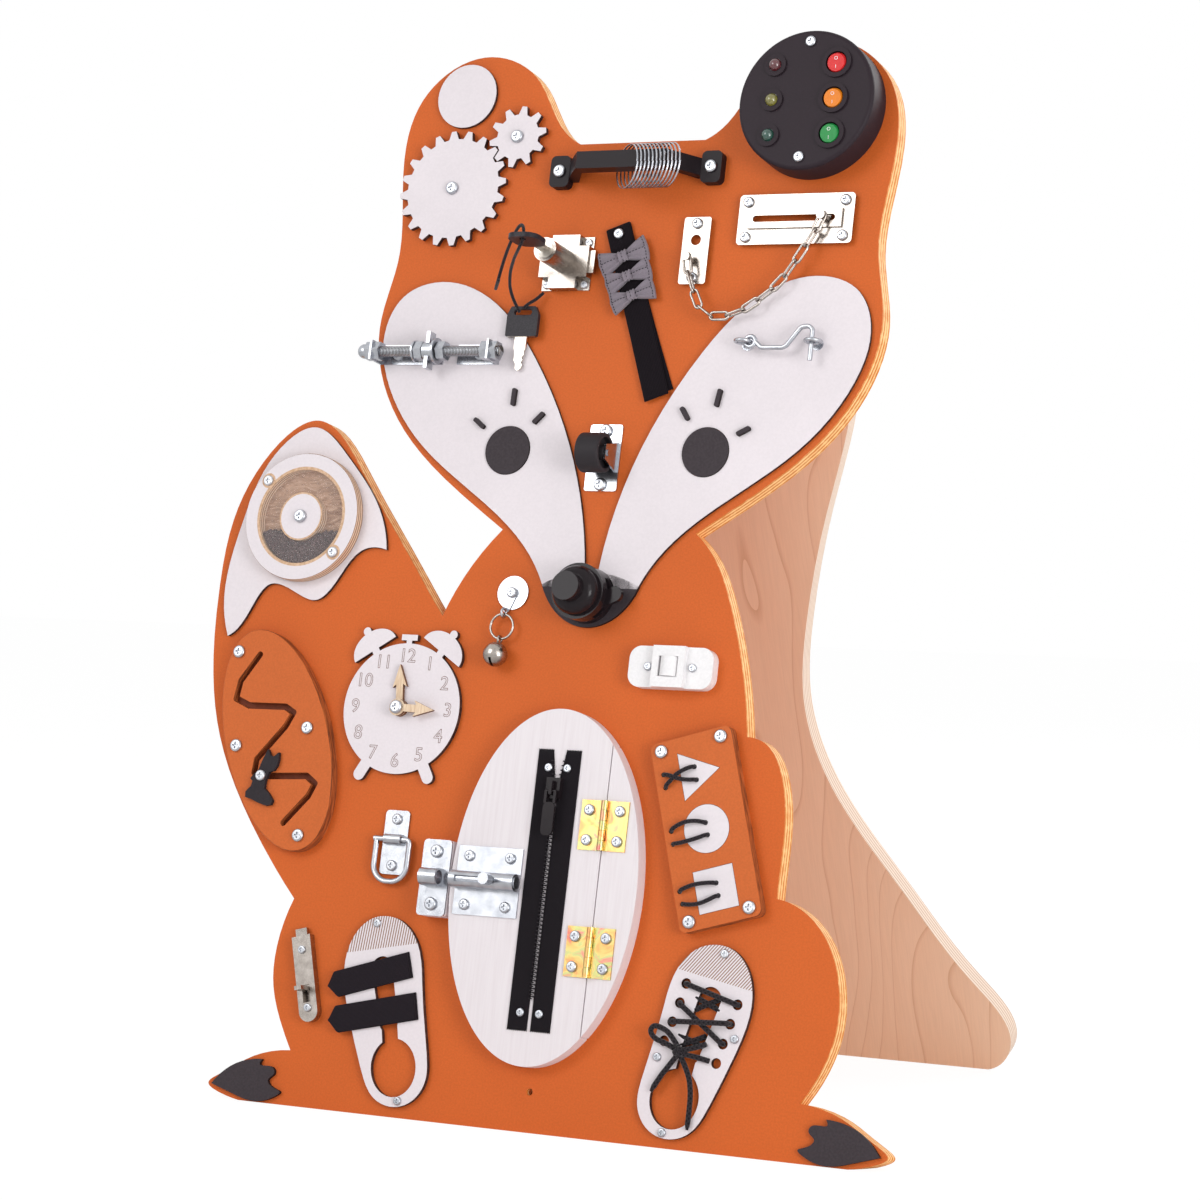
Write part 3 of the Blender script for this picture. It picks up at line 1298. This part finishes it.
# ------------------------------------------------------------ operators
class BUSYBOARD_OT_finishes(bpy.types.Operator):
    """Makes every finish and gives the rigid parts theirs."""

    bl_idname = "busy_board.finishes"
    bl_label = "Finishes"

    def execute(self, context):
        colours = context.scene.busy_board_colours
        dress(stained_board(colours), "board")
        dress(white_laminate(colours), "white_plates", "gear_large", "gear_small", "clock_face",
              "triangle_inlay", "circle_inlay", "square_inlay")
        dress(black_laminate(), "black_plates")
        dress(painted_wood(), "door_panel", "fixed_panel")
        dress(drum_wood(colours), "rain_disc")
        dress(play_board(), "maze_plate", "shape_plate")
        dress(pale_wood(), "hour_hand", "minute_hand")
        dress(birch_panel(), "rear_panel")
        dress(plated_metal("zinc", paint(200, 202, 207), paint(168, 171, 178), 0.28),
              "fixing_screws", "hook_rod", "rod_nuts", "lashing_ring", "bolt_rod")
        dress(plated_metal("nickel", paint(184, 176, 169), paint(152, 144, 137), 0.22),
              "nickel_fittings", "chain", "chain_slider", "lock_bolt", "bell_rings", "jingle_bell",
              "flush_bolt_case", "flush_bolt_bar")
        dress(zinc_with_thread(), "zinc_fittings")
        dress(rainbow_zinc("door_zinc", False), "door_fittings")
        dress(rainbow_zinc("hinge_zinc", True), "hinge_leaves_fixed")
        dress(key_finish("lock_key_finish", 2, LOCK_KEY_BOW_Z), "lock_key")
        dress(key_finish("spare_key_finish", 1, SPARE_KEY_BOW_Y), "spare_key")
        dress(lens_plastic(), "lamp_lenses")
        dress(clear_plastic(), "rain_window")
        dress(grain_finish(), "rain_granules")
        dress(cat_finish(), "cat_slider")
        for name, colour, roughness, grain, depth, nodes in MOULDED:
            dress(moulded_plastic(name, paint(*colour), roughness, grain, depth), *nodes)
        for name, dark, light, pitch in WEBBINGS:
            webbing(name, paint(*dark), paint(*light), pitch)
        braided("lace_braid", paint(18, 15, 18), paint(52, 47, 52), 3.4)
        braided("cord_braid", paint(20, 16, 20), paint(50, 44, 50), 2.6)
        bow_linen(colours.linen_colour)
        plated_metal("ring_steel", paint(218, 220, 226), paint(150, 152, 160), 0.2)
        return {"FINISHED"}


class BUSYBOARD_OT_ribbon(bpy.types.Operator):
    """Makes the folded ribbon that hangs from one screw."""

    bl_idname = "busy_board.ribbon"
    bl_label = "Ribbon"

    def execute(self, context):
        sizes = context.scene.busy_board_sizes
        stations = ribbon_stations()
        length = length_of([centre for centre, _ in stations])
        ribbon = band_piece("ribbon", stations, sizes.ribbon_width, sizes.ribbon_thickness,
                            finish("ribbon_cloth"), None)
        on_board(*on_strap(RIBBON_FIXED, 0), 2.0)
        on_board(*on_strap(RIBBON_FREE, 0), 2.0)
        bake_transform(ribbon)
        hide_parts("strap")
        return {"FINISHED"}


class BUSYBOARD_OT_bows(bpy.types.Operator):
    """Makes the three bows on the ribbon, with their stitches."""

    bl_idname = "busy_board.bows"
    bl_label = "Bows"

    def execute(self, context):
        linen = finish("bow_linen")
        thread = finish("thread_black")
        for number, (along, scale) in enumerate(BOWS):
            for side, word in ((-1, "left"), (1, "right")):
                bow_wing(f"bow_{number}_{word}", along, scale, side, linen)
            bow_knot(f"bow_{number}_knot", along, scale, linen)
        values = {"Pitch": context.scene.busy_board_sizes.stitch_pitch, "Length": 0.0013,
                  "Thickness": 0.00028}
        grown("bow_stitches", carrier_from(*stitch_lines()), stitch_tree(thread), values, thread,
              "strap_body")
        return {"FINISHED"}


class BUSYBOARD_OT_velcro(bpy.types.Operator):
    """Makes the two hook-and-loop straps over the left shoe."""

    bl_idname = "busy_board.velcro"
    bl_label = "Hook-and-loop straps"

    def execute(self, context):
        for body, node, right, left, width in VELCRO_STRAPS:
            reach = hypot(left[0] - right[0], left[1] - right[1])
            way = ((left[0] - right[0]) / reach, (left[1] - right[1]) / reach)
            across = (on_board(-way[1], way[0], 0) - on_board(0, 0, 0)).normalized()
            for layer, (z, start, narrow) in enumerate(VELCRO_LAYERS):
                length = reach + VELCRO_POINT - start
                stations = []
                for k in range(VELCRO_STEPS + 1):
                    run = start + length * k / VELCRO_STEPS
                    lift = VELCRO_BULGE * sin(pi * run / reach) * layer
                    spot = (right[0] + way[0] * run, right[1] + way[1] * run)
                    stations.append((on_board(*spot, z + lift), across))
                wide = (width - narrow) * MM
                piece = band_piece(f"{body}_layer_{layer}", stations, wide, VELCRO_THICKNESS * MM,
                                   finish("velcro_cloth"), body, VELCRO_POINT * MM)
            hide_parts(node)
        return {"FINISHED"}


class BUSYBOARD_OT_zipper(bpy.types.Operator):
    """Makes the zipper's two tapes and its teeth."""

    bl_idname = "busy_board.zipper"
    bl_label = "Zipper"

    def execute(self, context):
        pitch = context.scene.busy_board_sizes.tooth_pitch
        rows = [("zip_teeth", CLOSED_TEETH, pitch, (0.0036, 0.0012, 0.0017), (0.0009, 0.0, 0.0))]
        for side, word in ((-1, "left"), (1, "right")):
            tape_points, uvs = tape_rows(side)
            tape = flat_piece("zip_tape_" + word, tape_points, TAPE_THICKNESS * MM, finish("tape_cloth"),
                              "door", uvs)
            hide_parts("zip_tapes")
            parted = [(side * x, y, z) for x, y, z in PARTED_TEETH]
            rows.append(("zip_teeth_" + word, parted, pitch * 2, (0.0030, 0.0013, 0.0016), (0.0, 0.0, 0.0)))
        black = finish("tooth_black")
        for name, ends, step, size, shift in rows:
            line = [on_board(ZIP_X + x, y, z) for x, y, z in ends]
            values = {"Pitch": step, "Size": size, "Shift": shift, "Lean": TOOTH_LEAN}
            grown(name, carrier_from(line, [(0, 1)]), tooth_tree(black), values, black, "door")
        return {"FINISHED"}


class BUSYBOARD_OT_grains(bpy.types.Operator):
    """Strews the loose grains in the rain drum."""

    bl_idname = "busy_board.grains"
    bl_label = "Grains"

    def execute(self, context):
        seeds = finish("grain_finish")
        vertices, faces = heap_surface()
        values = {"Spacing": context.scene.busy_board_sizes.grain_spacing, "Density": 5000000.0,
                  "Smallest": 0.00050, "Largest": 0.00085, "Seed": 7}
        grown("loose_grains", carrier_from(vertices, (), faces), grain_tree(seeds), values, seeds,
              "frame")
        return {"FINISHED"}


class BUSYBOARD_OT_rings(bpy.types.Operator):
    """Hangs the wire rings on the handle."""

    bl_idname = "busy_board.rings"
    bl_label = "Wire rings"

    def execute(self, context):
        count = context.scene.busy_board_sizes.ring_count
        steel = finish("ring_steel")
        start = on_board(*RING_START)
        pitch = on_board(RING_START[0] - RING_PITCH, *RING_START[1:]) - start
        turn = Matrix.Rotation(pi / 2 - LEAN, 3, "X") @ Matrix.Rotation(-radians(RING_TILT), 3, "Y")
        values = {"Count": count, "Pitch": tuple(pitch), "Start": tuple(start),
                  "Turn": tuple(turn.to_euler()), "Radius": RING_RADIUS * MM, "Wire": RING_WIRE * MM}
        rings = grown("wire_rings", carrier_from([(0, 0, 0)]), coil_tree(steel, count), values, steel,
                      "rings")
        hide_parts("steel_rings")
        return {"FINISHED"}


class BUSYBOARD_OT_lace(bpy.types.Operator):
    """Laces the right shoe and ties its bow."""

    bl_idname = "busy_board.lace"
    bl_label = "Shoe lace"

    def execute(self, context):
        radius = context.scene.busy_board_sizes.lace_radius
        look = {"material": finish("lace_braid"), "body": "frame", "slot": "black_cord"}
        for number, (left, right, lift) in enumerate(LACE_RUNGS):
            a = turned(*LACE_HOLES[left], SHOE_RIGHT, -SHOE_TILT)
            b = turned(*LACE_HOLES[right], SHOE_RIGHT, -SHOE_TILT)
            share = LACE_ARCH / hypot(b[0] - a[0], b[1] - a[1])
            way = ((b[0] - a[0]) * share, (b[1] - a[1]) * share)
            high = LACE_OVER + lift
            route = [(*a, LACE_UNDER_Z), (*a, high), (a[0] + way[0], a[1] + way[1], high),
                     (b[0] - way[0], b[1] - way[1], high), (*b, high), (*b, LACE_UNDER_Z)]
            free_cord(f"lace_rung_{number}", route, radius, far_end="object", lay="taut", **look)
        ends = [short_cord(f"lace_end_{k}", route, radius, **look) for k, route in enumerate(LACE_SHORT)]
        loop = free_cord("lace_loop", LACE_LOOP, radius, far_end="object", lay="loose", with_pieces=ends,
                         **look)
        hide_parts("lace_and_tab")
        for number, route in enumerate(LACE_TAILS):
            free_cord(f"lace_tail_{number}", route, radius, far_end="bare", lay="loose", taper=0.55, **look)
        knot_piece("lace_knot", LACE_KNOT, LACE_KNOT_SIZE, **look)
        for number, route in enumerate(LACE_UNDER):
            short_cord(f"lace_under_{number}", route, radius, **look)
        return {"FINISHED"}


class BUSYBOARD_OT_shape_cords(bpy.types.Operator):
    """Ties the three shapes to their board."""

    bl_idname = "busy_board.shape_cords"
    bl_label = "Shape cords"

    def execute(self, context):
        radius = context.scene.busy_board_sizes.shape_cord_radius
        for number, route in enumerate(SHAPE_ROUTES):
            places = [(*turned(x, y, SHAPE_CENTRE, SHAPE_TILT), z) for x, y, z in route]
            free_cord(f"shape_cord_{number}", places, radius, finish("cord_braid"), "frame",
                                   "black_cord", far_end="object", lay="loose")
        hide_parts("shape_cords")
        return {"FINISHED"}


class BUSYBOARD_OT_key_cords(bpy.types.Operator):
    """Hangs the spare key on its cord."""

    bl_idname = "busy_board.key_cords"
    bl_label = "Key cord"

    def execute(self, context):
        radius = context.scene.busy_board_sizes.key_cord_radius
        tied = short_cord("key_cord_tied", KEY_TIED, radius, finish("cord_braid"), "frame", "black_cord")
        loop = free_cord("key_cord_loop", KEY_LOOP, radius, finish("cord_braid"), "frame", "black_cord",
                         far_end="object", lay="hanging", with_pieces=[tied])
        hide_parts("key_cord")
        return {"FINISHED"}


class BUSYBOARD_OT_marks(bpy.types.Operator):
    """Engraves the clock's numbers and prints the rockers' marks."""

    bl_idname = "busy_board.marks"
    bl_label = "Numbers and marks"

    def execute(self, context):
        for hour in range(1, 13):
            spot = turned(0, NUMBER_RING, CLOCK_CENTRE, -30 * hour)
            written(f"clock_number_{hour}", str(hour), NUMBER_HEIGHT, spot, CLOCK_FACE_Z,
                    finish("engraving"), "frame", line=NUMBER_LINE)
        tilt = radians(ROCKER_TILT)
        for colour, row in ROCKER_ROWS:
            for word, dy in (("O", ROCKER_MARK_REACH), ("I", -ROCKER_MARK_REACH)):
                across = dy * cos(tilt) - ROCKER_FACE * sin(tilt)
                rise = dy * sin(tilt) + ROCKER_FACE * cos(tilt)
                written(f"rocker_{colour}_{word}", word, ROCKER_MARK_HEIGHT, (ROCKER_X, row + across),
                        ROCKER_PIVOT_Z + rise, finish("mark_white"), colour + "_rocker",
                        tilt=ROCKER_TILT)
        return {"FINISHED"}


class BUSYBOARD_OT_stage(bpy.types.Operator):
    """Sets the floor, the lamps, the background and the camera."""

    bl_idname = "busy_board.stage"
    bl_label = "Stage"

    def execute(self, context):
        scene = context.scene
        corners = [(x * FLOOR_REACH, y * FLOOR_REACH, 0) for x, y in ((-1, -1), (1, -1), (1, 1), (-1, 1))]
        floor_mesh = bpy.data.meshes.new("floor")
        floor_mesh.from_pydata(corners, [], [(0, 1, 2, 3)])
        floor_mesh.materials.append(floor_finish())
        floor = bpy.data.objects.new("floor", floor_mesh)
        scene.collection.objects.link(floor)
        pale_world(scene)
        for name, place, power, size in LAMPS:
            lamp(name, place, power, size)
        camera = bpy.data.cameras.new("camera")
        camera.lens = CAMERA_LENS
        camera.sensor_width = 36.0
        view = bpy.data.objects.new("camera", camera)
        scene.collection.objects.link(view)
        axes = Matrix((CAMERA_RIGHT, CAMERA_UP, CAMERA_BACK))
        view.matrix_world = axes.transposed().to_4x4()
        view.location = CAMERA_PLACE
        scene.camera = view
        scene.view_settings.view_transform = "Standard"
        return {"FINISHED"}


def lamp(name, place, power, size):
    """A soft square lamp that faces the middle of the board."""
    light = bpy.data.lights.new(name, "AREA")
    light.shape = "SQUARE"
    light.size = size
    light.energy = power
    made = bpy.data.objects.new(name, light)
    bpy.context.scene.collection.objects.link(made)
    made.location = place
    made.rotation_euler = (Vector(BOARD_MIDDLE) - Vector(place)).to_track_quat("-Z", "Y").to_euler()


def floor_finish():
    """A white floor that shows white to the camera and still takes the shadow."""
    material = bpy.data.materials.new("white_floor")
    material.use_nodes = True
    tree = material.node_tree
    tree.nodes.clear()
    clouds = noise(add(tree, "ShaderNodeTexCoord", out="Object"), 30.0, 2.0)
    matt = add(tree, "ShaderNodeBsdfDiffuse", {"Color": ramp(clouds, (0.3, grey(0.93)), (0.7, grey(0.95)))})
    glow = add(tree, "ShaderNodeEmission", {"Color": grey(1.0), "Strength": FLOOR_GLOW})
    share = add(tree, "ShaderNodeLightPath", out="Is Camera Ray") * FLOOR_GLOW_SHARE
    add(tree, "ShaderNodeOutputMaterial", {"Surface": blend_shaders(share, matt, glow)})
    return material


def pale_world(scene):
    """A soft world: white where it is seen, and an even light elsewhere."""
    world = bpy.data.worlds.new("studio")
    scene.world = world
    world.use_nodes = True
    tree = world.node_tree
    tree.nodes.clear()
    soft = add(tree, "ShaderNodeBackground", {"Color": grey(1.0), "Strength": WORLD_LIGHT})
    white = add(tree, "ShaderNodeBackground", {"Color": grey(1.0), "Strength": 1.0})
    rays = add(tree, "ShaderNodeLightPath")
    seen = rays["Is Camera Ray"] | rays["Is Glossy Ray"] | rays["Is Transmission Ray"]
    add(tree, "ShaderNodeOutputWorld", {"Surface": blend_shaders(seen, soft, white)})


def blend_shaders(share, first, second):
    """Two shaders blended by a share."""
    return add(share.tree, "ShaderNodeMixShader", {0: share, 1: first, 2: second})


# ------------------------------------------------------------ panel and registration
MAKERS = (BUSYBOARD_OT_finishes, BUSYBOARD_OT_ribbon, BUSYBOARD_OT_bows, BUSYBOARD_OT_velcro,
          BUSYBOARD_OT_zipper, BUSYBOARD_OT_grains, BUSYBOARD_OT_rings, BUSYBOARD_OT_lace,
          BUSYBOARD_OT_shape_cords, BUSYBOARD_OT_key_cords, BUSYBOARD_OT_marks, BUSYBOARD_OT_stage)


class BUSYBOARD_PT_panel(bpy.types.Panel):
    """Lists the busy board's colours, sizes and pieces."""

    bl_idname = "BUSYBOARD_PT_panel"
    bl_label = "Fox Busy Board"
    bl_space_type = "VIEW_3D"
    bl_region_type = "UI"
    bl_category = "Busy Board"

    def draw(self, context):
        for group in (context.scene.busy_board_colours, context.scene.busy_board_sizes):
            box = self.layout.box()
            for name in group.bl_rna.properties.keys():
                if name not in ("rna_type", "name"):
                    box.prop(group, name)
        for maker in MAKERS:
            self.layout.operator(maker.bl_idname)


CLASSES = (BusyBoardColours, BusyBoardSizes, *MAKERS, BUSYBOARD_PT_panel)


def register():
    """Adds the operators, the panel and the settings."""
    for kind in CLASSES:
        bpy.utils.register_class(kind)
    bpy.types.Scene.busy_board_colours = bpy.props.PointerProperty(type=BusyBoardColours)
    bpy.types.Scene.busy_board_sizes = bpy.props.PointerProperty(type=BusyBoardSizes)


def unregister():
    """Takes them away again."""
    del bpy.types.Scene.busy_board_sizes
    del bpy.types.Scene.busy_board_colours
    for kind in reversed(CLASSES):
        bpy.utils.unregister_class(kind)


def main():
    """Makes the whole board and writes how large it came out."""
    register()
    for maker in MAKERS:
        family, name = maker.bl_idname.split(".")
        getattr(getattr(bpy.ops, family), name)()


if __name__ == "__main__":
    main()
